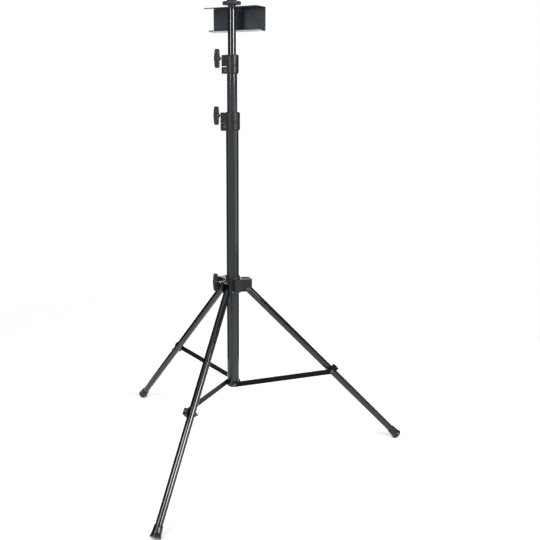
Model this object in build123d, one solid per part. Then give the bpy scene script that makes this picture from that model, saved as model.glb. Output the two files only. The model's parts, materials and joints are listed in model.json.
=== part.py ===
from build123d import *
from math import asin, atan2, cos, degrees, hypot, radians, sin, sqrt
import os

# Tall three-section tripod stand with a C-shaped sheet-steel bracket on top.
# Millimetres, +Z up. The origin is on the floor, on the axis of the mast.
# Legs, braces and hub arms are built pointing along +X and then turned to their azimuth;
# in that position the far side of a leg (+Y) is its left side, looking outward.

# ---- driving dimensions -------------------------------------------------------------------
LEG_NAMES = ("right", "back", "front")
FIRST_LEG_AZIMUTH = 8.35
LEG_STEP = 120
KNOB_AZIMUTH = FIRST_LEG_AZIMUTH + 180   # half way between the back and the front leg

# telescopic mast
MAST_RADIUS, MAST_BORE = 17.5, 15.7
MIDDLE_RADIUS, MIDDLE_BORE = 14.0, 12.4
ROD_RADIUS, ROD_BORE = 11.0, 9.0
MAST_BOTTOM, MAST_TOP = 211.0, 988.0
MIDDLE_BOTTOM, MIDDLE_TOP = 345.0, 1140.0
ROD_BOTTOM, ROD_TOP = 560.0, 1280.2
RUN = 0.06              # running clearance of a shaft in its bore, on the radius
GUIDE_RUN = 0.08        # running clearance of a guide collar in the next tube, on the radius
GUIDE_LENGTH = 34.0
BODY_GAP = 0.3          # gap between faces of pieces that move past each other

# tripod
LEG_ANGLE = 43.73       # from the vertical, stand open
LEG_RADIUS, LEG_BORE = 10.0, 8.5
PIVOT_R, PIVOT_Z = 42.0, 508.0
LEG_LENGTH = 690.9      # pivot to the middle of the foot's sole
LEG_OVERRUN = 11.0      # tube beyond the pivot
BRACE_JOINT_R = 298.0
BRACE_ROOT_Z = 217.1
BRACE_HEIGHT, BRACE_THICK = 15.4, 2.5
BRACE_SIDE = MAST_RADIUS + BODY_GAP      # inner face of the brace, measured from the mast axis
BOLT_FACE = BRACE_SIDE - BODY_GAP - 0.1  # end of the leg's bolt, next to the brace
PIN_RADIUS = 3.0

# feet
FOOT_LENGTH = 30.0
FOOT_TOP_RADIUS, FOOT_SOLE_RADIUS = 12.4, 15.0
FOOT_SOLE_THICK = 4.0
FOOT_CHAMFER = 1.5

# leg brackets: a block on the brace side of each leg, and the bolt through both
BLOCK_DOWN, BLOCK_UP = 9.5, 8.0         # along the leg, below and above the brace joint
BLOCK_FOOT, BLOCK_TOP = -8.5, 20.2      # square to the leg, measured from its axis
BLOCK_FROM, BLOCK_TO = -17.0, -5.8      # across the leg
BLOCK_MIDDLE = (BLOCK_FROM + BLOCK_TO) / 2
SCREW_HEAD_RADIUS, SCREW_HEAD_HEIGHT = 3.3, 1.9
NUT_END, BOLT_TIP = 13.8, 18.6

# hub
HUB_BOTTOM, HUB_TOP = 497.0, 537.2
HUB_RADIUS, HUB_BORE = 24.0, 19.3
KNOB_BOSS = 6.0         # round boss for the hub knob, proud of the hub's middle
ARM_BOTTOM, ARM_TOP = 500.0, 536.8
COLLAR_HEIGHT = 7.8     # bush collar that stands above the hub around the mast
ARM_REACH, ARM_HALF = 55.5, 15.5
ARM_BLEND = 9.0         # radius where an arm runs into the round middle of the hub
CHEEK_GAP = LEG_RADIUS + 0.5
ARM_ROOF = 4.8
ROOF_POCKET = 2.2       # depth of the tray in the top of an arm, between its two cheeks
HUB_KNOB_Z = 528.0

# clamp collars on the mast: body radius, block reach, half width of the block
LOWER_CLAMP = dict(body=21.4, reach=31.4, half=13.0, bottom=959.0, top=1008.3, knob_z=999.9,
                   slit=1.2, slit_z=978.8, screw_z=970.9, screw_x=22.6)
UPPER_CLAMP = dict(body=18.2, reach=27.4, half=11.5, bottom=1111.0, top=1160.5, knob_z=1151.4,
                   slit=2.0, slit_z=1130.0, screw_z=1119.7, screw_x=18.6)
EAR_SLIT = 2.0          # upright slit between the two ears of a clamp collar
BUSH_FLANGE = 1.0
CLAMP_FOOT_CHAMFER = 3.4

# wing knobs and their studs
STUD_RADIUS = 3.0
TOP_STUD_RADIUS = 4.0
WING_SPAN, WING_WIDTH, WING_THICK = 50.0, 15.0, 12.6
WING_INSET = 3.2        # inner face of the wings, behind the inner face of the knob's middle
KNOB_LENGTH = 16.6
KNOB_GAP = 3.4          # clamp block to knob

# top bracket, a C channel open towards the user
CHANNEL_AZIMUTH = -30.0
CHANNEL_LENGTH, CHANNEL_HEIGHT, SHEET = 161.0, 62.8, 2.5
CHANNEL_TOP = 1284.2
WEB_BACK = 41.0         # outer face of the web, behind the rod axis
TOP_LIP, BOTTOM_LIP = 53.0, 29.5
LIP_RISE = 3.4          # the lower flange is bent past square and rises towards its lip
BEND = 3.8              # outside radius of the bends

# top knob
TOP_KNOB_RADIUS, TOP_KNOB_RIM = 24.8, 9.0
NECK_RADIUS, NECK_HEIGHT = 10.5, 4.8
CAP_RADIUS, CAP_HEIGHT = 13.0, 8.0
KNURLS = 18

JOINT_ALONG_LEG = (BRACE_JOINT_R - PIVOT_R) / sin(radians(LEG_ANGLE))
BRACE_JOINT_Z = PIVOT_Z - JOINT_ALONG_LEG * cos(radians(LEG_ANGLE))
BRACE_RISE = BRACE_JOINT_Z - BRACE_ROOT_Z
BRACE_LENGTH = hypot(BRACE_JOINT_R, BRACE_RISE)
BRACE_ANGLE = degrees(atan2(BRACE_RISE, BRACE_JOINT_R))
BASE = (Align.CENTER, Align.CENTER, Align.MIN)


# ---- helpers ------------------------------------------------------------------------------
def rod(radius, bottom, top):
    return Pos(0, 0, bottom) * Cylinder(radius, top - bottom, align=BASE)


def ring(outer, inner, bottom, top):
    return rod(outer, bottom, top) - rod(inner, bottom - 1, top + 1)


def bar_x(radius, start, end):
    """A round bar along X."""
    return Rot(0, 90, 0) * rod(radius, start, end)


def bar_y(radius, start, end):
    """A round bar along Y."""
    return Rot(-90, 0, 0) * rod(radius, start, end)


def block(x0, x1, y0, y1, z0, z1):
    return Pos((x0 + x1) / 2, (y0 + y1) / 2, (z0 + z1) / 2) * Box(x1 - x0, y1 - y0, z1 - z0)


def hexagon_y(across_flats, start, end):
    """A hexagonal prism along Y, for nuts and bolt heads."""
    sketch = RegularPolygon(across_flats / sqrt(3), 6)
    return Rot(-90, 0, 0) * Pos(0, 0, start) * extrude(sketch, end - start)


def at_leg(index):
    return Rot(0, 0, FIRST_LEG_AZIMUTH + index * LEG_STEP)


def along_leg(shape):
    """From the leg's own frame (pivot at the origin, leg down -Z, upper side +X) to azimuth 0."""
    return Pos(PIVOT_R, 0, PIVOT_Z) * Rot(0, -LEG_ANGLE, 0) * shape


def along_brace(shape):
    """From the brace's own frame (root pivot at the origin, brace along +X) to azimuth 0."""
    return Pos(0, 0, BRACE_ROOT_Z) * Rot(0, -BRACE_ANGLE, 0) * shape


def at_knob(shape):
    return Rot(0, 0, KNOB_AZIMUTH) * shape


def save(name, shape):
    export_step(shape, f"parts/{name}.step")


# ---- mast ---------------------------------------------------------------------------------
def mast_tube():
    tube = ring(MAST_RADIUS, MAST_BORE, MAST_BOTTOM, MAST_TOP)
    for index in range(len(LEG_NAMES)):
        hole = Pos(0, 0, BRACE_ROOT_Z) * bar_y(PIN_RADIUS, -MAST_RADIUS - 1, -MAST_BORE + 4)
        tube -= at_leg(index) * hole
    return tube


def mast_end_plug():
    flange_bottom = MAST_BOTTOM - 2.6
    plug = rod(MAST_BORE, MAST_BOTTOM, MAST_BOTTOM + 30)
    plug += chamfer(rod(MAST_RADIUS, flange_bottom, MAST_BOTTOM).edges().group_by(Axis.Z)[0], 1.0)
    plug -= rod(5, MAST_BOTTOM + 6, MAST_BOTTOM + 31)
    for index in range(len(LEG_NAMES)):
        hole = Pos(0, 0, BRACE_ROOT_Z) * bar_y(PIN_RADIUS, -MAST_BORE - 1, -MAST_BORE + 7.5)
        plug -= at_leg(index) * hole
    return plug


def brace_pivot_screws():
    """Three shoulder screws in the foot of the mast, one for the root of each brace."""
    head_face = -(BRACE_SIDE + BRACE_THICK + BODY_GAP)
    screws = []
    for index in range(len(LEG_NAMES)):
        screw = bar_y(PIN_RADIUS, head_face, -MAST_BORE + 7.5)
        screw += bar_y(5.4, head_face - 2.6, head_face)
        screw -= hexagon_y(3.0, head_face - 2.7, head_face - 1.2)
        screws.append(at_leg(index) * Pos(0, 0, BRACE_ROOT_Z) * screw)
    return Compound(screws)


def middle_tube():
    return ring(MIDDLE_RADIUS, MIDDLE_BORE, MIDDLE_BOTTOM, MIDDLE_TOP)


def middle_tube_guide():
    """Collar that keeps the foot of the middle tube central in the mast."""
    collar = ring(MAST_BORE - GUIDE_RUN, MIDDLE_RADIUS, MIDDLE_BOTTOM, MIDDLE_BOTTOM + GUIDE_LENGTH)
    return collar + ring(MAST_BORE - GUIDE_RUN, MIDDLE_BORE, MIDDLE_BOTTOM - 3, MIDDLE_BOTTOM)


def top_rod():
    return ring(ROD_RADIUS, ROD_BORE, ROD_BOTTOM, ROD_TOP)


def top_rod_guide():
    collar = ring(MIDDLE_BORE - GUIDE_RUN, ROD_RADIUS, ROD_BOTTOM, ROD_BOTTOM + GUIDE_LENGTH)
    return collar + ring(MIDDLE_BORE - GUIDE_RUN, ROD_BORE, ROD_BOTTOM - 3, ROD_BOTTOM)


def top_rod_insert():
    """Threaded steel insert pressed into the top of the rod."""
    return ring(ROD_BORE, TOP_STUD_RADIUS + RUN, ROD_TOP - 32, ROD_TOP)


# ---- clamp collars ------------------------------------------------------------------------
def clamp(size, lower_tube_radius, lower_tube_top, bush_radius):
    body = rod(size["body"], size["bottom"], size["top"])
    body = chamfer(body.edges().group_by(Axis.Z)[0], CLAMP_FOOT_CHAMFER)
    body = fillet(body.edges().group_by(Axis.Z)[-1], 1.8)
    ears = block(0, size["reach"], -size["half"], size["half"], size["bottom"], size["top"])
    ears = fillet(ears.edges().filter_by(Axis.Z).group_by(Axis.X)[-1], 3.0)
    ears = chamfer(ears.edges().group_by(Axis.Z)[0] + ears.edges().group_by(Axis.Z)[-1], 0.8)
    body += ears
    body -= rod(lower_tube_radius, size["bottom"] - 1, lower_tube_top)
    body -= rod(bush_radius, lower_tube_top - 1, size["top"] + 1)
    body -= Pos(0, 0, size["knob_z"]) * bar_x(STUD_RADIUS + RUN, bush_radius - 2, size["reach"] + 1)
    flat_slit = block(2, size["reach"] + 1, -size["half"] - 1, size["half"] + 1,
                      size["slit_z"] - size["slit"] / 2, size["slit_z"] + size["slit"] / 2)
    body -= flat_slit
    ear_slit = block(lower_tube_radius - 1, size["reach"] + 1, -EAR_SLIT / 2, EAR_SLIT / 2,
                     size["bottom"] - 1, size["slit_z"])
    body -= ear_slit
    groove = block(-11, 3, size["half"] - 4, size["body"] + 1, -0.6, 0.6)
    body -= Pos(0, 0, size["slit_z"]) * Rot(0, 32, 0) * groove
    screw_hole = bar_y(2.2, -size["half"] - 1, size["half"] + 1)
    screw_seat = bar_y(4.2, size["half"] - 3, size["half"] + 1)
    body -= Pos(size["screw_x"], 0, size["screw_z"]) * (screw_hole + screw_seat)
    return at_knob(body)


def clamp_screw(size):
    """Screw that draws the ears of a clamp collar together on the lower tube."""
    screw = bar_y(2.2, -size["half"] + 1, size["half"] - 3)
    head = bar_y(4.0, size["half"] - 3, size["half"] - 0.4) - hexagon_y(3.4, size["half"] - 2, size["half"])
    return at_knob(Pos(size["screw_x"], 0, size["screw_z"]) * (screw + head))


def clamp_bush(size, outer, tube_radius, bottom):
    """Plastic bush between a clamp collar and the tube that slides in it."""
    bush = ring(outer, tube_radius + RUN, bottom, size["top"])
    bush += ring(outer + 2.5, tube_radius + RUN, size["top"], size["top"] + BUSH_FLANGE)
    hole = Pos(0, 0, size["knob_z"]) * bar_x(STUD_RADIUS + RUN, 5, outer + 3)
    return at_knob(bush - hole)


# ---- wing knobs ---------------------------------------------------------------------------
def wing_knob(inner_face):
    """Two-winged knob, axis +X, its inner face at the given distance from the mast axis."""
    inner = inner_face + WING_INSET
    outer = inner + WING_THICK
    tip = WING_SPAN / 2
    side_view = make_face(Polyline((inner, -tip + 8), (inner + 3.2, -tip), (outer - 3, -tip),
                                   (outer, -tip + 6), (outer, tip - 6), (outer - 3, tip),
                                   (inner + 3.2, tip), (inner, tip - 8), close=True))
    wing = extrude(Plane.XZ * side_view, WING_WIDTH / 2, both=True)
    wing &= extrude(Plane.YZ.offset(inner) * SlotOverall(WING_SPAN, WING_WIDTH, rotation=90), WING_THICK)
    wing = fillet(wing.edges().group_by(Axis.X)[-1], 1.6)
    middle = make_face(Polyline((inner_face, 0), (inner_face, 5.0), (inner_face + 4.5, 9.2),
                                (outer - 0.6, 9.2), (inner_face + KNOB_LENGTH, 7.6),
                                (inner_face + KNOB_LENGTH, 0), close=True))
    return wing + revolve(middle, Axis.X) - bar_x(STUD_RADIUS, inner_face - 1, inner_face + 12)


def wing_stud(inner_face, tip):
    """Threaded steel stud moulded into a wing knob."""
    stud = bar_x(STUD_RADIUS, tip, inner_face + 12)
    return chamfer(stud.edges().group_by(Axis.X)[0], 0.8)


# ---- hub ----------------------------------------------------------------------------------
def hub_star():
    """Outline of the hub seen from above: a round middle with three arms, blended together."""
    outline = Circle(HUB_RADIUS)
    for index in range(len(LEG_NAMES)):
        outline += at_leg(index) * Pos(ARM_REACH / 2, 0) * Rectangle(ARM_REACH, 2 * ARM_HALF)
    inner_corners = outline.vertices().sort_by(lambda corner: hypot(corner.X, corner.Y))[:6]
    return fillet(inner_corners, ARM_BLEND)


def hub():
    lower_end, upper_end = ARM_BOTTOM + 12, ARM_TOP - 3.2
    side_view = make_face(Polyline((0, ARM_BOTTOM), (ARM_REACH - 15, ARM_BOTTOM), (ARM_REACH, lower_end),
                                   (ARM_REACH, upper_end), (ARM_REACH - 6, ARM_TOP), (0, ARM_TOP),
                                   close=True))
    arms = Pos(0, 0, ARM_BOTTOM) * extrude(hub_star(), ARM_TOP - ARM_BOTTOM)
    arms = arms & revolve(Plane.XZ * side_view, Axis.Z)
    body = rod(HUB_RADIUS, HUB_BOTTOM, HUB_TOP)
    body = chamfer(body.edges().group_by(Axis.Z)[0] + body.edges().group_by(Axis.Z)[-1], 1.5)
    body += arms
    body += at_knob(Pos(0, 0, HUB_KNOB_Z) * bar_x(9.0, 0, HUB_RADIUS + KNOB_BOSS))
    for index in range(len(LEG_NAMES)):
        slot = block(HUB_RADIUS, ARM_REACH + 1, -CHEEK_GAP, CHEEK_GAP, ARM_BOTTOM - 9, ARM_TOP - ARM_ROOF)
        tray = block(HUB_RADIUS + 2, ARM_REACH + 1, -CHEEK_GAP, CHEEK_GAP,
                     ARM_TOP - ROOF_POCKET, ARM_TOP + 1)
        pivot_hole = Pos(PIVOT_R, 0, PIVOT_Z) * bar_y(PIN_RADIUS, -ARM_HALF - 1, ARM_HALF + 1)
        body -= at_leg(index) * (slot + tray + pivot_hole)
    body -= rod(HUB_BORE, HUB_BOTTOM - 1, HUB_TOP + 1)
    return body - at_knob(Pos(0, 0, HUB_KNOB_Z) * bar_x(STUD_RADIUS + RUN, HUB_BORE - 2, HUB_RADIUS + 8))


def hub_bush():
    bush = ring(HUB_BORE, MAST_RADIUS + RUN, HUB_BOTTOM, HUB_TOP)
    bush += ring(HUB_BORE + 1.2, MAST_RADIUS + RUN, HUB_TOP, HUB_TOP + COLLAR_HEIGHT)
    bush = chamfer(bush.edges().group_by(Axis.Z)[-1], 0.8)
    return bush - at_knob(Pos(0, 0, HUB_KNOB_Z) * bar_x(STUD_RADIUS + RUN, 10, HUB_BORE + 1))


def leg_pivot_bolts():
    bolts = []
    for index in range(len(LEG_NAMES)):
        bolt = bar_y(PIN_RADIUS, -ARM_HALF, ARM_HALF + 4.6)
        bolt += bar_y(5.0, -ARM_HALF - 2.4, -ARM_HALF)
        bolt -= hexagon_y(3.4, -ARM_HALF - 2.5, -ARM_HALF - 1.0)
        bolts.append(at_leg(index) * Pos(PIVOT_R, 0, PIVOT_Z) * bolt)
    return Compound(bolts)


def leg_pivot_nuts():
    nuts = []
    for index in range(len(LEG_NAMES)):
        nut = hexagon_y(9, ARM_HALF, ARM_HALF + 3.6) - bar_y(PIN_RADIUS, ARM_HALF - 1, ARM_HALF + 5)
        nuts.append(at_leg(index) * Pos(PIVOT_R, 0, PIVOT_Z) * nut)
    return Compound(nuts)


# ---- leg pieces, in the leg's own frame ---------------------------------------------------
def leg_tube():
    tube = ring(LEG_RADIUS, LEG_BORE, -LEG_LENGTH + FOOT_SOLE_THICK, LEG_OVERRUN)
    tube -= bar_y(PIN_RADIUS + RUN, -LEG_RADIUS - 1, LEG_RADIUS + 1)
    return tube - Pos(0, 0, -JOINT_ALONG_LEG) * bar_y(PIN_RADIUS, -LEG_RADIUS - 1, LEG_RADIUS + 1)


def leg_top_plug():
    plug = rod(LEG_BORE, -16, LEG_OVERRUN)
    return plug - bar_y(PIN_RADIUS + RUN, -LEG_BORE - 1, LEG_BORE + 1)


def foot(index):
    """Rubber cap, flared towards its sole and cut flat where it meets the floor."""
    sole = -LEG_LENGTH
    top = sole + FOOT_LENGTH
    outline = make_face(Polyline((0, sole), (FOOT_SOLE_RADIUS - FOOT_CHAMFER, sole),
                                 (FOOT_SOLE_RADIUS, sole + FOOT_CHAMFER),
                                 (FOOT_SOLE_RADIUS, sole + 3.5), (FOOT_TOP_RADIUS, top - 3),
                                 (FOOT_TOP_RADIUS - 0.8, top), (LEG_RADIUS, top),
                                 (LEG_RADIUS, sole + FOOT_SOLE_THICK),
                                 (0, sole + FOOT_SOLE_THICK), close=True))
    cap = revolve(Plane.XZ * outline, Axis.Z)
    placed = at_leg(index) * along_leg(cap)
    return placed - block(-800, 800, -800, 800, -50, 0)


def leg_bracket():
    """Block fixed to the side of the leg, hollowed to sit on the tube and standing above it."""
    shape = block(BLOCK_FOOT, BLOCK_TOP, BLOCK_FROM, BLOCK_TO, -BLOCK_DOWN, BLOCK_UP)
    shape = chamfer(shape.edges().group_by(Axis.X)[-1], 1.5)
    shape = chamfer(shape.edges().group_by(Axis.X)[0], 2.5)
    shape -= rod(LEG_RADIUS, -BLOCK_DOWN - 1, BLOCK_UP + 1) + bar_y(PIN_RADIUS, BLOCK_FROM - 1, 0)
    seat = bar_x(SCREW_HEAD_RADIUS + 0.1, BLOCK_TOP - SCREW_HEAD_HEIGHT - 0.3, BLOCK_TOP + 1)
    shape -= Pos(0, BLOCK_MIDDLE, 0) * (seat + bar_x(2.0, BLOCK_TOP - 9, BLOCK_TOP))
    return Pos(0, 0, -JOINT_ALONG_LEG) * shape


def leg_bracket_screw():
    """Cross-head screw set into the top of the block."""
    head_top = BLOCK_TOP - 0.3
    screw = bar_x(2.0, BLOCK_TOP - 9, head_top - SCREW_HEAD_HEIGHT)
    screw += bar_x(SCREW_HEAD_RADIUS, head_top - SCREW_HEAD_HEIGHT, head_top)
    for turn in (0, 90):
        screw -= Rot(turn, 0, 0) * block(head_top - 1.1, head_top + 1, -2.6, 2.6, -0.5, 0.5)
    return Pos(0, BLOCK_MIDDLE, -JOINT_ALONG_LEG) * screw


def brace_bolt():
    """Bolt through the block and the leg; the rivet of the brace continues it on the near side."""
    bolt = bar_y(PIN_RADIUS, -BOLT_FACE, NUT_END - 1) + bar_y(2.4, NUT_END - 1, BOLT_TIP)
    return Pos(0, 0, -JOINT_ALONG_LEG) * bolt


def brace_nut():
    """Nut with a thin washer, hollowed to sit on the round of the leg."""
    nut = bar_y(5.8, LEG_RADIUS - 3, LEG_RADIUS + 0.8) + hexagon_y(9.6, LEG_RADIUS + 0.8, NUT_END)
    nut -= rod(LEG_RADIUS, -7, 7) + bar_y(PIN_RADIUS, 0, NUT_END - 1) + bar_y(2.4, 0, NUT_END + 1)
    return Pos(0, 0, -JOINT_ALONG_LEG) * nut


# ---- brace pieces, in the brace's own frame -----------------------------------------------
def brace():
    near = -BRACE_SIDE - BRACE_THICK
    outline = Pos(BRACE_LENGTH / 2, 0) * SlotOverall(BRACE_LENGTH + BRACE_HEIGHT, BRACE_HEIGHT)
    strip = Pos(0, near, 0) * Rot(-90, 0, 0) * extrude(outline, BRACE_THICK)
    strip -= bar_y(PIN_RADIUS + RUN, near - 1, near + BRACE_THICK + 1)
    return strip - Pos(BRACE_LENGTH, 0, 0) * bar_y(PIN_RADIUS, near - 1, near + BRACE_THICK + 1)


def brace_rivet():
    near = -BRACE_SIDE - BRACE_THICK
    rivet = bar_y(PIN_RADIUS, near, -BRACE_SIDE)
    head = bar_y(5.4, near - 3.0, near)
    head = chamfer(head.edges().group_by(Axis.Y)[0], 1.2)
    return Pos(BRACE_LENGTH, 0, 0) * (rivet + head)


# ---- top bracket and its knob -------------------------------------------------------------
def top_bracket():
    """Sheet steel bent to a C, its mouth towards -Y before it is turned on the rod."""
    bottom = CHANNEL_TOP - CHANNEL_HEIGHT
    outside = FilletPolyline((WEB_BACK - TOP_LIP, CHANNEL_TOP), (WEB_BACK, CHANNEL_TOP),
                             (WEB_BACK, bottom), (WEB_BACK - BOTTOM_LIP, bottom + LIP_RISE), radius=BEND)
    formed = make_brake_formed(SHEET, CHANNEL_LENGTH, outside, side=Side.RIGHT)
    channel = Pos(CHANNEL_LENGTH / 2, 0, 0) * (Plane.YZ * formed)
    channel -= rod(TOP_STUD_RADIUS + 0.1, CHANNEL_TOP - SHEET - 1, CHANNEL_TOP + 1)
    return Rot(0, 0, CHANNEL_AZIMUTH) * channel


def bracket_washer():
    """Nylon washer between the top of the rod and the bracket."""
    return ring(10.8, TOP_STUD_RADIUS + 0.1, ROD_TOP + BODY_GAP, CHANNEL_TOP - SHEET)


def top_knob():
    bottom = CHANNEL_TOP + BODY_GAP
    rim_bottom = bottom + NECK_HEIGHT
    rim_top = rim_bottom + TOP_KNOB_RIM
    outline = make_face(Polyline((0, bottom), (NECK_RADIUS, bottom), (NECK_RADIUS, rim_bottom),
                                 (TOP_KNOB_RADIUS - 1.2, rim_bottom), (TOP_KNOB_RADIUS, rim_bottom + 1.4),
                                 (TOP_KNOB_RADIUS, rim_top - 1.8), (TOP_KNOB_RADIUS - 1.8, rim_top),
                                 (CAP_RADIUS, rim_top), (CAP_RADIUS - 1.0, rim_top + CAP_HEIGHT - 2),
                                 (CAP_RADIUS - 3.0, rim_top + CAP_HEIGHT), (0, rim_top + CAP_HEIGHT),
                                 close=True))
    knob = revolve(Plane.XZ * outline, Axis.Z)
    for step in range(KNURLS):
        flute = Pos(TOP_KNOB_RADIUS + 1.1, 0) * rod(2.0, rim_bottom - 1, rim_top + 1)
        knob -= Rot(0, 0, step * 360 / KNURLS) * flute
    return knob - rod(TOP_STUD_RADIUS, bottom - 1, bottom + 12)


def top_knob_stud():
    return rod(TOP_STUD_RADIUS, ROD_TOP - 26, CHANNEL_TOP + BODY_GAP + 12)


# ---- write every piece --------------------------------------------------------------------
def save_mast_pieces():
    lower_bush_radius = 16.5
    upper_bush_radius = 13.2
    save("mast_tube", mast_tube())
    save("mast_end_plug", mast_end_plug())
    save("brace_pivot_screws", brace_pivot_screws())
    save("middle_tube", middle_tube())
    save("middle_tube_guide", middle_tube_guide())
    save("top_rod", top_rod())
    save("top_rod_guide", top_rod_guide())
    save("top_rod_insert", top_rod_insert())
    save("lower_clamp", clamp(LOWER_CLAMP, MAST_RADIUS, MAST_TOP, lower_bush_radius))
    save("upper_clamp", clamp(UPPER_CLAMP, MIDDLE_RADIUS, MIDDLE_TOP, upper_bush_radius))
    save("lower_clamp_bush", clamp_bush(LOWER_CLAMP, lower_bush_radius, MIDDLE_RADIUS, MAST_TOP))
    save("upper_clamp_bush", clamp_bush(UPPER_CLAMP, upper_bush_radius, ROD_RADIUS, MIDDLE_TOP))
    save("lower_clamp_screw", clamp_screw(LOWER_CLAMP))
    save("upper_clamp_screw", clamp_screw(UPPER_CLAMP))


def save_wing_knobs():
    knobs = (("lower_clamp", LOWER_CLAMP["reach"] + KNOB_GAP, LOWER_CLAMP["knob_z"], MIDDLE_RADIUS + 0.4),
             ("upper_clamp", UPPER_CLAMP["reach"] + KNOB_GAP + 1, UPPER_CLAMP["knob_z"], ROD_RADIUS + 0.4),
             ("hub", HUB_RADIUS + KNOB_BOSS + 11, HUB_KNOB_Z, MAST_RADIUS + 0.4))
    for name, inner_face, height, tip in knobs:
        save(f"{name}_knob", at_knob(Pos(0, 0, height) * wing_knob(inner_face)))
        save(f"{name}_stud", at_knob(Pos(0, 0, height) * wing_stud(inner_face, tip)))


def save_tripod():
    save("hub", hub())
    save("hub_bush", hub_bush())
    save("leg_pivot_bolts", leg_pivot_bolts())
    save("leg_pivot_nuts", leg_pivot_nuts())
    for index, name in enumerate(LEG_NAMES):
        place = at_leg(index)
        save(f"leg_{name}", place * along_leg(leg_tube()))
        save(f"leg_plug_{name}", place * along_leg(leg_top_plug()))
        save(f"foot_{name}", foot(index))
        save(f"leg_bracket_{name}", place * along_leg(leg_bracket()))
        save(f"bracket_screw_{name}", place * along_leg(leg_bracket_screw()))
        save(f"brace_bolt_{name}", place * along_leg(brace_bolt()))
        save(f"brace_nut_{name}", place * along_leg(brace_nut()))
        save(f"brace_{name}", place * along_brace(brace()))
        save(f"brace_rivet_{name}", place * along_brace(brace_rivet()))


def save_top():
    save("top_bracket", top_bracket())
    save("bracket_washer", bracket_washer())
    save("top_knob", top_knob())
    save("top_knob_stud", top_knob_stud())


os.makedirs("parts", exist_ok=True)
save_mast_pieces()
save_wing_knobs()
save_tripod()
save_top()
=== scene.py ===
"""Looks of a tall tripod music stand: materials, finer moulded and threaded pieces, and the studio.

Metres, +Z up, in the frame of the CAD model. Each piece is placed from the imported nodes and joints.
"""

import json
from math import cos, pi, radians, sin, tau

import bpy
from mathutils import Matrix, Vector


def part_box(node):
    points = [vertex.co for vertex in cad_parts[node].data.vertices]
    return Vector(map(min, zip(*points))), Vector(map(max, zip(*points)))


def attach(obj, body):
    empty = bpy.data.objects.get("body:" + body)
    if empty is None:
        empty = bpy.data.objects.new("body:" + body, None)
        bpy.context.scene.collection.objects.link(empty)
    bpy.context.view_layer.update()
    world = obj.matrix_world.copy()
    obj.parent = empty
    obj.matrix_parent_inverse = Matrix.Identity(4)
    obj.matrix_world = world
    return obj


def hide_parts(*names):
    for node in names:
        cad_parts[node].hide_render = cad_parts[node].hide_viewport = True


LEGS = ("right", "back", "front")
WING_KNOBS = ("lower_clamp", "upper_clamp", "hub")

# ---- camera, fitted to the reference view --------------------------------------------------
CAMERA_PLACE = (0.0, -2.1369, 1.0798)
CAMERA_PITCH, CAMERA_YAW, CAMERA_ROLL = -13.23, -0.27, -0.174      # degrees
CAMERA_LENS, SENSOR = 50.8, 36.0
CAMERA_SHIFT = (0.0624, -0.0096)

# ---- studio --------------------------------------------------------------------------------
FLOOR_RADIUS, FLOOR_FADE = 2.0, 0.6     # the floor fades into the backdrop from FLOOR_FADE outwards
FLOOR_GREY, FLOOR_GLOW = 0.8, 0.28
FLOOR_SIDES = 96
ROOM_GREY = 0.05                # the room above the horizon, in fill light and reflections
BACKDROP_GREY = 1.0             # the far floor below the horizon, and what the camera sees behind it
HORIZON = (-0.01, 0.03)         # sine of elevation over which the far floor turns into the room
CEILING = (0.80, 0.86)          # and the room into the ceiling
CEILING_GREY = 1.1

# softboxes: azimuth from the camera's side (positive to the right), distance, bottom, top, width, radiance
SOFTBOXES = {
    "left_box": (-37, 2.9, 1.15, 3.2, 0.7, 16),
    "right_box": (48, 2.9, 1.15, 2.7, 0.9, 28),
    "high_left_box": (-30, 2.9, 3.3, 4.4, 1.2, 18),
    "right_card": (74, 2.9, 0.0, 1.0, 3.4, 0.95),
    "back_box": (180, 3.4, 0.3, 2.6, 1.0, 2.0),
}

# black cards behind the stand on both sides, seen only in reflections, that keep the tubes' edges dark
FLAG_DISTANCE, FLAG_HEIGHT = 0.8, 2.4
FLAG_FROM, FLAG_TO = 98, 163    # azimuth from the camera's side
FLAG_STEPS = 12

# ---- materials -----------------------------------------------------------------------------
BEVEL_SAMPLES = 6
ENAMEL_TINT = (0.93, 0.98, 1.0, 1.0)    # the enamel's gloss is a little blue
ENAMEL_SPECULAR = 0.54
NYLON_GRAIN = 0.00003

# ---- moulded details -----------------------------------------------------------------------
SMOOTH_ANGLE, KNOB_SMOOTH_ANGLE, THREAD_SMOOTH_ANGLE = 40, 35, 60   # degrees; sharper edges stay sharp

# threaded studs
THREAD_PITCH = 0.00125
THREAD_DEPTH = 0.0006
THREAD_COLUMNS = 24
STUD_RADIUS = 0.003
STUD_OVERLAP = 0.002            # how far the thread runs on inside the knob

# rubber feet: the lip is (radius, distance below the cap's top), the skirt (radius, height over the sole)
FOOT_COLUMNS = 64
FOOT_BORE = 0.01006
FOOT_LIP = ((FOOT_BORE, 0.0015), (FOOT_BORE + 0.0003, 0.0), (0.0116, 0.0), (0.0121, 0.0008),
            (0.0123, 0.0022), (0.0121, 0.0034), (0.0119, 0.0042), (0.0121, 0.0052))
FOOT_SKIRT = ((0.0127, 0.0150), (0.0134, 0.0098), (0.0131, 0.0090), (0.0131, 0.0084), (0.0137, 0.0077),
              (0.0145, 0.0048), (0.0142, 0.0043), (0.0142, 0.0038), (0.0149, 0.0032), (0.0150, 0.0014),
              (0.0146, 0.0004), (0.0138, 0.0))
SOLE_RIBS = ((0.0121, 0.0), (0.0117, 0.0007), (0.0106, 0.0007), (0.0102, 0.0), (0.0081, 0.0),
             (0.0077, 0.0007), (0.0066, 0.0007), (0.0062, 0.0), (0.0030, 0.0))

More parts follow.
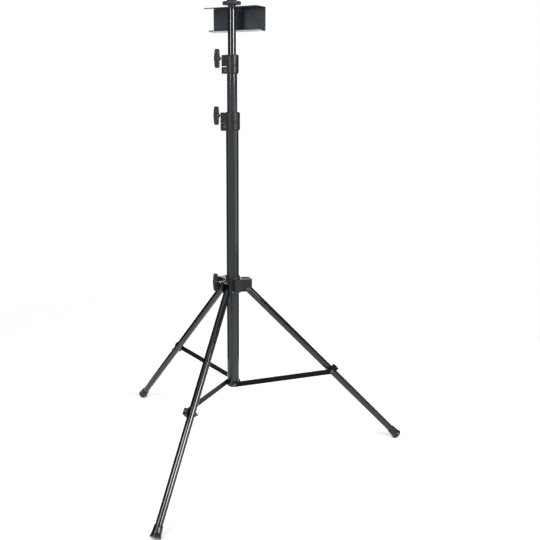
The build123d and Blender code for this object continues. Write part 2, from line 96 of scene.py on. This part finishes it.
# boss of a wing knob: (radius, distance from its inner end), then (radius, distance from its outer end)
BOSS_COLUMNS = 48
BOSS_INNER = ((0.0030, 0.0), (0.0046, 0.0), (0.0051, 0.0004), (0.0060, 0.0022), (0.0086, 0.0048),
              (0.0092, 0.0070))
BOSS_OUTER = ((0.0092, 0.0012), (0.0088, 0.0004), (0.0078, 0.0), (0.0062, 0.0), (0.0057, 0.0006),
              (0.0020, 0.0006))

# top knob: neck and cap are (radius, height), the rim is (distance inside the widest radius, height)
KNOB_NECK = ((0.0102, 0.0), (0.0105, 0.0004), (0.0105, 0.0044), (0.0108, 0.0048))
KNOB_RIM = ((0.0022, 0.0048), (0.0008, 0.0052), (0.0, 0.0066), (0.0, 0.0118), (0.0006, 0.0131),
            (0.0020, 0.0138), (0.0036, 0.0138), (0.0046, 0.0133))
KNOB_CAP = ((0.0142, 0.0133), (0.0131, 0.0138), (0.0129, 0.0150), (0.0122, 0.0198), (0.0114, 0.0211),
            (0.0098, 0.0218), (0.0060, 0.0218), (0.0054, 0.0212), (0.0020, 0.0212))
LOBES, LOBE_COLUMNS = 18, 12    # finger flutes round the rim
FLUTE_DEPTH, FLUTE_BAND = 0.0016, 0.0025        # the flutes are cut into this outer band of the rim
FLUTE_POWER = 3                 # a higher power makes narrower flutes

# wings of the wing knobs
WING_ROWS, WING_COLUMNS = 64, 72
WING_HALF_WIDTH, WING_WAIST = 0.0075, 0.2       # waist: share of the width taken off in the middle
WING_WAIST_POWER = 8            # a higher power makes a shorter waist
WING_STANDOFF = 0.0018          # inner face of the wings, behind the inner end of the boss
WING_INNER_BOW, WING_OUTER_BOW = 0.0008, 0.0018
WING_END_POWER, WING_SQUARE = 9, 0.42           # squareness of the wing tips and of the section
GRIP_RIBS, GRIP_DEPTH = 4, 0.0004               # ribs on each wing of a wing knob
GRIP_FROM = 0.4                 # share of the half span where the ribs begin


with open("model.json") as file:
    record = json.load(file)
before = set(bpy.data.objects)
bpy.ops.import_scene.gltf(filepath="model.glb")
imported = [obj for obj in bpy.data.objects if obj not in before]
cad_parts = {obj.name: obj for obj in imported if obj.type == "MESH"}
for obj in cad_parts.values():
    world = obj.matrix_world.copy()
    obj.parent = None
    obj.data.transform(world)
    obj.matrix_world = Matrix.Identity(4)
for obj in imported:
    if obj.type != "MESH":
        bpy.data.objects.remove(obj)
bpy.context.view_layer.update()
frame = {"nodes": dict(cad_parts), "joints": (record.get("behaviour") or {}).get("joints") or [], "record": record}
joints = {joint["name"]: joint for joint in frame["joints"]}


# ---- shader helpers ------------------------------------------------------------------------
class Shader:
    """A material with a Principled shader, and short calls that add nodes to it."""

    def __init__(self, name, **sockets):
        self.material = bpy.data.materials.new(name)
        self.material.use_nodes = True
        self.tree = self.material.node_tree
        self.principled = self.tree.nodes["Principled BSDF"]
        for socket, value in sockets.items():
            self.principled.inputs[socket.replace("_", " ")].default_value = value
        self.place = self.tree.nodes.new("ShaderNodeTexCoord").outputs["Object"]
        self.surface_normal = None

    def add(self, kind, **settings):
        node = self.tree.nodes.new(kind)
        for setting, value in settings.items():
            setattr(node, setting, value)
        return node

    def join(self, output, target):
        self.tree.links.new(output, target)

    def stretched(self, scale):
        """Object coordinates scaled by a vector, so that noise runs long in one direction."""
        mapping = self.add("ShaderNodeMapping")
        mapping.inputs["Scale"].default_value = scale
        self.join(self.place, mapping.inputs["Vector"])
        return mapping.outputs["Vector"]

    def noise(self, scale, detail=2.0, place=None):
        texture = self.add("ShaderNodeTexNoise")
        texture.inputs["Scale"].default_value = scale
        texture.inputs["Detail"].default_value = detail
        self.join(place or self.place, texture.inputs["Vector"])
        return texture.outputs["Fac"]

    def spread(self, value, low, high, start=0.3, end=0.7):
        """Maps a texture value from start..end to low..high."""
        mapping = self.add("ShaderNodeMapRange")
        for socket, number in zip(("From Min", "From Max", "To Min", "To Max"), (start, end, low, high)):
            mapping.inputs[socket].default_value = number
        self.join(value, mapping.inputs["Value"])
        return mapping.outputs["Result"]

    def mix(self, factor, first, second):
        """Mix of two colours, each a colour or an output."""
        node = self.add("ShaderNodeMix", data_type="RGBA")
        self.join(factor, node.inputs["Factor"])
        for socket, colour in ((node.inputs[6], first), (node.inputs[7], second)):
            if isinstance(colour, bpy.types.NodeSocket):
                self.join(colour, socket)
            else:
                socket.default_value = (*colour, 1.0)
        return node.outputs[2]

    def bump(self, height, distance):
        """Adds a bump; a later call lies on top of an earlier one."""
        node = self.add("ShaderNodeBump")
        node.inputs["Distance"].default_value = distance
        self.join(height, node.inputs["Height"])
        if self.surface_normal:
            self.join(self.surface_normal, node.inputs["Normal"])
        self.surface_normal = node.outputs["Normal"]

    def round_edges(self, radius):
        """Softens every edge in the shading, as paint or a mould does."""
        node = self.add("ShaderNodeBevel", samples=BEVEL_SAMPLES)
        node.inputs["Radius"].default_value = radius
        self.surface_normal = node.outputs["Normal"]

    def worn_edge(self, radius):
        """0 on flat stretches, 1 along sharp edges."""
        rounded = self.add("ShaderNodeBevel", samples=BEVEL_SAMPLES)
        rounded.inputs["Radius"].default_value = radius
        geometry = self.add("ShaderNodeNewGeometry")
        product = self.add("ShaderNodeVectorMath", operation="DOT_PRODUCT")
        self.join(rounded.outputs["Normal"], product.inputs[0])
        self.join(geometry.outputs["Normal"], product.inputs[1])
        return self.spread(product.outputs["Value"], low=1.0, high=0.0, start=0.8, end=0.98)

    def height(self):
        split = self.add("ShaderNodeSeparateXYZ")
        self.join(self.place, split.inputs["Vector"])
        return split.outputs["Z"]

    def done(self, colour=None, roughness=None):
        if colour is not None:
            self.join(colour, self.principled.inputs["Base Color"])
        if roughness is not None:
            self.join(roughness, self.principled.inputs["Roughness"])
        if self.surface_normal:
            self.join(self.surface_normal, self.principled.inputs["Normal"])
        return self.material


def shade(colour, factor):
    return tuple(channel * factor for channel in colour)


# ---- materials -----------------------------------------------------------------------------
def powder_coat(name, colour, roughness, specular=ENAMEL_SPECULAR, peel=0.00001):
    """Black stove enamel: fine orange peel, cloudy gloss, edges rubbed a little paler."""
    paint = Shader(name, Specular_IOR_Level=specular, Specular_Tint=ENAMEL_TINT)
    paint.round_edges(0.0006)
    cloudy = paint.mix(paint.spread(paint.noise(scale=9, detail=3), low=0, high=1),
                       shade(colour, 0.9), shade(colour, 1.12))
    rubbed = paint.mix(paint.worn_edge(0.0007), cloudy, shade(colour, 2.6))
    paint.bump(paint.noise(scale=420, detail=2), peel)
    paint.bump(paint.noise(scale=2600, detail=1), peel / 5)
    gloss = paint.spread(paint.noise(scale=30, detail=3), low=roughness - 0.03, high=roughness + 0.05)
    return paint.done(rubbed, gloss)


def sliding_coat(name, colour, roughness):
    """The same enamel on a tube that slides: fine lengthwise rub marks in colour and gloss."""
    paint = Shader(name, Specular_IOR_Level=ENAMEL_SPECULAR, Specular_Tint=ENAMEL_TINT)
    marks = paint.noise(scale=1, detail=4, place=paint.stretched((700, 700, 5)))
    streaked = paint.mix(paint.spread(marks, low=0, high=1, start=0.5, end=0.8), colour,
                         shade(colour, 1.5))
    paint.bump(marks, 0.000001)
    return paint.done(streaked, paint.spread(marks, low=roughness - 0.01, high=roughness + 0.02))


def moulded(name, colour, roughness, specular=0.5):
    """Glass-filled nylon: spark-eroded grain, faint flow clouds, edges polished by handling."""
    plastic = Shader(name, Specular_IOR_Level=specular)
    plastic.round_edges(0.0008)
    flow = plastic.mix(plastic.spread(plastic.noise(scale=45, detail=4), low=0, high=1),
                       shade(colour, 0.88), shade(colour, 1.14))
    handled = plastic.mix(plastic.worn_edge(0.0009), flow, shade(colour, 1.9))
    plastic.bump(plastic.noise(scale=1500, detail=3), NYLON_GRAIN)
    gloss = plastic.spread(plastic.noise(scale=60, detail=3), low=roughness - 0.05, high=roughness + 0.07)
    return plastic.done(handled, gloss)


def rubber(name, colour):
    """Smooth rubber with some gloss, dusty towards the floor."""
    shader = Shader(name, Specular_IOR_Level=0.4)
    dust = shader.spread(shader.height(), low=1.0, high=0.0, start=0.0, end=0.012)
    patchy = shader.mix(shader.spread(shader.noise(scale=160, detail=5), low=0, high=1),
                        shade(colour, 0.85), shade(colour, 1.25))
    dusty = shader.mix(dust, patchy, shade(colour, 2.2))
    shader.bump(shader.noise(scale=1100, detail=4), 0.00004)
    return shader.done(dusty, shader.spread(shader.noise(scale=220, detail=3), low=0.17, high=0.27))


def plated(name, colour, roughness):
    """Zinc plate: metal with a faint mottled passivation."""
    metal = Shader(name, Metallic=1.0)
    mottled = metal.mix(metal.spread(metal.noise(scale=320, detail=4), low=0, high=1),
                        shade(colour, 0.82), shade(colour, 1.1))
    metal.bump(metal.noise(scale=1800, detail=2), 0.00002)
    gloss = metal.spread(metal.noise(scale=500, detail=3), low=roughness - 0.06, high=roughness + 0.1)
    return metal.done(mottled, gloss)


MATERIALS = {
    "tube_coat": powder_coat("tube_enamel", (0.004, 0.005, 0.006), 0.08),
    "strip_coat": powder_coat("strip_enamel", (0.004, 0.004, 0.0045), 0.38, specular=0.06),
    "sheet_coat": powder_coat("sheet_enamel", (0.009, 0.012, 0.017), 0.28, peel=0.000004),
    "clamp_plastic": moulded("clamp_nylon", (0.007, 0.007, 0.0072), 0.34, specular=0.28),
    "hub_plastic": moulded("hub_nylon", (0.005, 0.006, 0.007), 0.3, specular=0.33),
    "knob_plastic": moulded("knob_nylon", (0.005, 0.005, 0.0055), 0.36, specular=0.4),
    "bush_nylon": moulded("bush_nylon", (0.006, 0.006, 0.0065), 0.4),
    "foot_rubber": rubber("foot_rubber", (0.005, 0.005, 0.005)),
    "stud_steel": plated("zinc_plate", (0.58, 0.58, 0.56), 0.3),
    "black_screw": plated("black_zinc", (0.10, 0.10, 0.105), 0.34),
}
# darker, less glossy copy of the nylon for the leg brackets: painted shade, the look of brackets the lights miss
# put into their colour
PAINTED_SHADE_NYLON = moulded("painted_shade_nylon", (0.003, 0.003, 0.003), 0.42, specular=0.12)
RUBBED = sliding_coat("rubbed_enamel", (0.005, 0.006, 0.008), 0.12)


def paint_nodes():
    """Gives each CAD node the material of its slot; the sliding tubes get the rubbed enamel, and the leg brackets
    a darker nylon that is painted shade.
    """
    for part in frame["record"]["subparts"]:
        node = frame["nodes"][part["node"]]
        node.data.materials.clear()
        node.data.materials.append(MATERIALS[part["material_slot"]])
    for name in ("middle_tube", "top_rod"):
        frame["nodes"][name].data.materials[0] = RUBBED
    # the leg brackets get the darker nylon, which paints shade on them
    for leg in LEGS:
        frame["nodes"][f"leg_bracket_{leg}"].data.materials[0] = PAINTED_SHADE_NYLON


# ---- mesh helpers --------------------------------------------------------------------------
def span_along(node, origin, axis):
    """Nearest and farthest distance of a CAD node from origin, measured along axis."""
    reach = [(corner.co - origin).dot(axis) for corner in frame["nodes"][node].data.vertices]
    return min(reach), max(reach)


def frame_matrix(origin, axis, upward):
    """Matrix whose X is axis and whose Z is as near to upward as it can be."""
    x = Vector(axis).normalized()
    y = Vector(upward).cross(x).normalized()
    z = x.cross(y)
    matrix = Matrix((x, y, z)).transposed().to_4x4()
    matrix.translation = origin
    return matrix


def new_piece(name, corners, faces, material):
    mesh = bpy.data.meshes.new(name)
    mesh.from_pydata(corners, [], faces)
    mesh.validate()
    mesh.materials.append(material)
    piece = bpy.data.objects.new(name, mesh)
    bpy.context.scene.collection.objects.link(piece)
    return piece


def mesh_piece(name, corners, faces, slot, body, smooth_angle=SMOOTH_ANGLE):
    """A smooth-shaded piece in the material of its slot, riding on a body."""
    piece = new_piece(name, corners, faces, MATERIALS[slot])
    piece.data.shade_smooth()
    piece.data.set_sharp_from_angle(angle=radians(smooth_angle))
    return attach(piece, body)


def grid_faces(rows, columns):
    """Quads between rings of the same length, and one face that closes each end."""
    faces = []
    for row in range(rows - 1):
        for column in range(columns):
            after = (column + 1) % columns
            faces.append((row * columns + column, row * columns + after,
                          (row + 1) * columns + after, (row + 1) * columns + column))
    faces.append(tuple(range(columns))[::-1])
    faces.append(tuple((rows - 1) * columns + column for column in range(columns)))
    return faces


def lathe(profile, columns, place, ripple=None):
    """Corners of a turned shape; profile is (radius, distance along X), ripple alters a radius by angle."""
    corners = []
    for radius, along in profile:
        for column in range(columns):
            angle = tau * column / columns
            here = ripple(radius, angle) if ripple else radius
            corners.append(place @ Vector((along, here * cos(angle), here * sin(angle))))
    return corners


# ---- finer pieces --------------------------------------------------------------------------
def leg_axis(leg):
    """Pivot and downward direction of a leg; its fold joint brings it upright at its limit."""
    joint = joints[f"leg_{leg}_fold"]
    tilt = radians(joint["range_deg"][1])
    left = Vector(joint["axis"])
    outward = left.cross(Vector((0, 0, 1)))
    return Vector(joint["pos_m"]), outward * sin(tilt) - Vector((0, 0, cos(tilt)))


def rubber_foot(leg):
    """Cap with a rolled lip, a flared skirt with two grooves and a ribbed sole."""
    pivot, down = leg_axis(leg)
    top, sole = span_along(f"foot_{leg}", pivot, down)
    profile = [(radius, top + below) for radius, below in FOOT_LIP]
    profile += [(radius, sole - over) for radius, over in FOOT_SKIRT + SOLE_RIBS]
    corners = lathe(profile, FOOT_COLUMNS, frame_matrix(pivot, down, (0, 0, 1)))
    for corner in corners:
        corner.z = max(corner.z, 0.0)
    faces = grid_faces(len(profile), FOOT_COLUMNS)
    piece = mesh_piece(f"foot_cap_{leg}", corners, faces, "foot_rubber", f"leg_{leg}")
    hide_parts(f"foot_{leg}")


def knob_axis(name):
    """A point on the axis of a wing knob, and the axis, which points outwards."""
    joint = joints[f"{name}_knob_turn"]
    return Vector(joint["pos_m"]), Vector(joint["axis"])


def thread(name, origin, axis, start, end, radius, body):
    """Round bar with a helical thread from start to end along axis."""
    steps = int((end - start) / THREAD_PITCH * THREAD_COLUMNS)
    place = frame_matrix(origin, axis, (0, 0, 1))
    corners, faces = [], []
    rows_per_turn = ((0.0, -1.0), (0.25, -1.0), (0.5, 0.0), (0.75, 0.0))
    for step in range(steps + 1):
        angle = tau * step / THREAD_COLUMNS
        along = start + step / THREAD_COLUMNS * THREAD_PITCH
        for share, dip in rows_per_turn + ((1.0, -1.0),):
            here = radius + dip * THREAD_DEPTH
            x = min(max(along + (share - 0.5) * THREAD_PITCH, start), end)
            corners.append(place @ Vector((x, here * cos(angle), here * sin(angle))))
    wide = len(rows_per_turn) + 1
    for step in range(steps):
        for column in range(wide - 1):
            low = step * wide + column
            faces.append((low, low + 1, low + wide + 1, low + wide))
    return mesh_piece(name, corners, faces, "stud_steel", body, THREAD_SMOOTH_ANGLE)


def superpower(value, power):
    return (abs(value) ** power) * (1 if value >= 0 else -1)


def wing_section(share, inner, outer):
    """Thickness range, half width and end rounding of a wing knob at share (-1..1) of its span."""
    end = (1 - abs(share) ** WING_END_POWER) ** (1 / WING_END_POWER)
    near = inner + WING_STANDOFF + WING_INNER_BOW * share ** 2
    far = outer - WING_OUTER_BOW * share ** 2
    waist = 1 - WING_WAIST * cos(pi * share / 2) ** WING_WAIST_POWER
    return near, far, WING_HALF_WIDTH * waist, end


def wing_knob(name):
    """Two-winged knob with bowed faces, rounded tips, a waist, ribs for the fingers and a boss."""
    origin, axis = knob_axis(name)
    inner, outer = span_along(f"{name}_knob", origin, axis)
    half_span = max(abs(v) for v in span_along(f"{name}_knob", origin, Vector((0, 0, 1))))
    place = frame_matrix(origin, axis, (0, 0, 1))
    corners = []
    for row in range(WING_ROWS):
        share = -cos(pi * (row + 0.5) / WING_ROWS)
        near, far, half_width, end = wing_section(share, inner, outer)
        rib = GRIP_DEPTH * max(0.0, cos(tau * GRIP_RIBS * share)) * (abs(share) > GRIP_FROM)
        for column in range(WING_COLUMNS):
            angle = tau * column / WING_COLUMNS
            x = (near + far) / 2 + (far - near) / 2 * end * superpower(cos(angle), WING_SQUARE)
            y = half_width * end * superpower(sin(angle), WING_SQUARE) + rib * sin(angle)
            corners.append(place @ Vector((x, y, half_span * share)))
    wings = mesh_piece(f"{name}_wings", corners, grid_faces(WING_ROWS, WING_COLUMNS),
                       "knob_plastic", f"{name}_knob", KNOB_SMOOTH_ANGLE)
    boss = [(radius, inner + along) for radius, along in BOSS_INNER]
    boss += [(radius, outer - along) for radius, along in BOSS_OUTER]
    middle = mesh_piece(f"{name}_knob_boss", lathe(boss, BOSS_COLUMNS, place),
                        grid_faces(len(boss), BOSS_COLUMNS), "knob_plastic", f"{name}_knob",
                        KNOB_SMOOTH_ANGLE)
    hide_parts(f"{name}_knob")
    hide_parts(f"{name}_knob")


def threaded_stud(name):
    """The stud of a wing knob, threaded where it shows between the clamp and the knob."""
    origin, axis = knob_axis(name)
    start, _ = span_along(f"{name}_stud", origin, axis)
    end = span_along(f"{name}_knob", origin, axis)[0] + STUD_OVERLAP
    piece = thread(f"{name}_stud_thread", origin, axis, start, end, STUD_RADIUS, f"{name}_knob")
    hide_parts(f"{name}_stud")


def top_knob():
    """Turned knob with rounded finger flutes, a dished top and a cap."""
    low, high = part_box("top_knob")
    rim = (high.x - low.x) / 2
    profile = [*KNOB_NECK, *((rim - inset, height) for inset, height in KNOB_RIM), *KNOB_CAP]
    place = frame_matrix(Vector((0, 0, low.z)), (0, 0, 1), (1, 0, 0))
    columns = LOBES * LOBE_COLUMNS

    def flutes(radius, angle):
        if radius < rim - FLUTE_BAND:
            return radius
        return radius - FLUTE_DEPTH * max(0.0, cos(LOBES * angle)) ** FLUTE_POWER

    corners = lathe(profile, columns, place, flutes)
    piece = mesh_piece("top_knob_grip", corners, grid_faces(len(profile), columns),
                       "knob_plastic", "top_knob", KNOB_SMOOTH_ANGLE)
    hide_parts("top_knob")


# ---- studio and camera ---------------------------------------------------------------------
def stage_mesh(name, corners, faces, material):
    """A thing of the studio, which is no piece of the stand."""
    piece = new_piece(name, corners, faces, material)
    return piece


def floor_paper():
    """Pale matt paper that glows a little, clear towards its rim, where the backdrop takes over."""
    paper = Shader("floor_paper", Roughness=0.9, Specular_IOR_Level=0.1, Emission_Strength=FLOOR_GLOW)
    paper.principled.inputs["Base Color"].default_value = (FLOOR_GREY, FLOOR_GREY, FLOOR_GREY, 1)
    paper.principled.inputs["Emission Color"].default_value = (1, 1, 1, 1)
    distance = paper.add("ShaderNodeVectorMath", operation="LENGTH")
    paper.join(paper.place, distance.inputs[0])
    fade = paper.spread(distance.outputs["Value"], low=1.0, high=0.0, start=FLOOR_FADE, end=FLOOR_RADIUS)
    paper.join(fade, paper.principled.inputs["Alpha"])
    return paper.material


def make_floor():
    angles = [tau * side / FLOOR_SIDES for side in range(FLOOR_SIDES)]
    corners = [(FLOOR_RADIUS * cos(angle), FLOOR_RADIUS * sin(angle), 0) for angle in angles]
    stage_mesh("floor", corners, [tuple(range(FLOOR_SIDES))], floor_paper())


def make_flags():
    black = Shader("flag_black", Roughness=1.0, Specular_IOR_Level=0.0).material
    black.node_tree.nodes["Principled BSDF"].inputs["Base Color"].default_value = (0, 0, 0, 1)
    for side, name in ((1, "right"), (-1, "left")):
        corners = []
        for step in range(FLAG_STEPS + 1):
            angle = side * radians(FLAG_FROM + (FLAG_TO - FLAG_FROM) * step / FLAG_STEPS)
            for height in (0.0, FLAG_HEIGHT):
                corners.append((FLAG_DISTANCE * sin(angle), -FLAG_DISTANCE * cos(angle), height))
        faces = [(2 * i, 2 * i + 2, 2 * i + 3, 2 * i + 1) for i in range(FLAG_STEPS)]
        flag = stage_mesh(f"flag_{name}", corners, faces, black)
        flag.visible_camera = flag.visible_diffuse = flag.visible_shadow = False


def background(tree, grey):
    shader = tree.nodes.new("ShaderNodeBackground")
    shader.inputs["Color"].default_value = (grey, grey, grey, 1)
    return shader.outputs[0]


def mixed(tree, factor, first, second):
    mix = tree.nodes.new("ShaderNodeMixShader")
    for socket, output in zip(mix.inputs, (factor, first, second)):
        tree.links.new(output, socket)
    return mix.outputs[0]


def make_world():
    """Plain pale backdrop for the camera; far floor, dark room and pale ceiling in reflections."""
    world = bpy.data.worlds.new("studio")
    world.use_nodes = True
    tree = world.node_tree
    direction = tree.nodes.new("ShaderNodeTexCoord").outputs["Generated"]
    split = tree.nodes.new("ShaderNodeSeparateXYZ")
    tree.links.new(direction, split.inputs["Vector"])
    backdrop = background(tree, BACKDROP_GREY)
    room = backdrop
    for (low, high), grey in ((HORIZON, ROOM_GREY), (CEILING, CEILING_GREY)):
        above = tree.nodes.new("ShaderNodeMapRange")
        above.inputs["From Min"].default_value, above.inputs["From Max"].default_value = low, high
        tree.links.new(split.outputs["Z"], above.inputs["Value"])
        room = mixed(tree, above.outputs["Result"], room, background(tree, grey))
    seen = tree.nodes.new("ShaderNodeLightPath").outputs["Is Camera Ray"]
    tree.links.new(mixed(tree, seen, room, backdrop), tree.nodes["World Output"].inputs["Surface"])
    bpy.context.scene.world = world


def area_light(name, place, target, width, height, radiance):
    light = bpy.data.lights.new(name, "AREA")
    light.shape = "RECTANGLE"
    light.size, light.size_y = width, height
    light.energy = radiance * pi * width * height
    lamp = bpy.data.objects.new(name, light)
    lamp.location = place
    lamp.rotation_euler = (Vector(target) - Vector(place)).to_track_quat("-Z", "Y").to_euler()
    lamp.visible_camera = False
    bpy.context.scene.collection.objects.link(lamp)


def make_lights():
    for name, (azimuth, distance, bottom, top, width, radiance) in SOFTBOXES.items():
        angle = radians(azimuth)
        middle = (bottom + top) / 2
        place = (distance * sin(angle), -distance * cos(angle), middle)
        area_light(name, place, (0, 0, middle), width, top - bottom, radiance)


def make_camera():
    data = bpy.data.cameras.new("camera")
    data.lens, data.sensor_width = CAMERA_LENS, SENSOR
    data.shift_x, data.shift_y = CAMERA_SHIFT
    camera = bpy.data.objects.new("camera", data)
    turn = Matrix.Rotation(radians(CAMERA_YAW), 4, "Z")
    turn @= Matrix.Rotation(radians(90 + CAMERA_PITCH), 4, "X")
    turn @= Matrix.Rotation(radians(CAMERA_ROLL), 4, "Z")
    camera.rotation_euler = turn.to_euler()
    camera.location = CAMERA_PLACE
    bpy.context.scene.collection.objects.link(camera)
    bpy.context.scene.camera = camera


paint_nodes()
for leg_name in LEGS:
    rubber_foot(leg_name)
for knob_name in WING_KNOBS:
    wing_knob(knob_name)
    threaded_stud(knob_name)
top_knob()
make_floor()
make_flags()
make_world()
make_lights()
make_camera()
bpy.context.scene.view_settings.view_transform = "Standard"
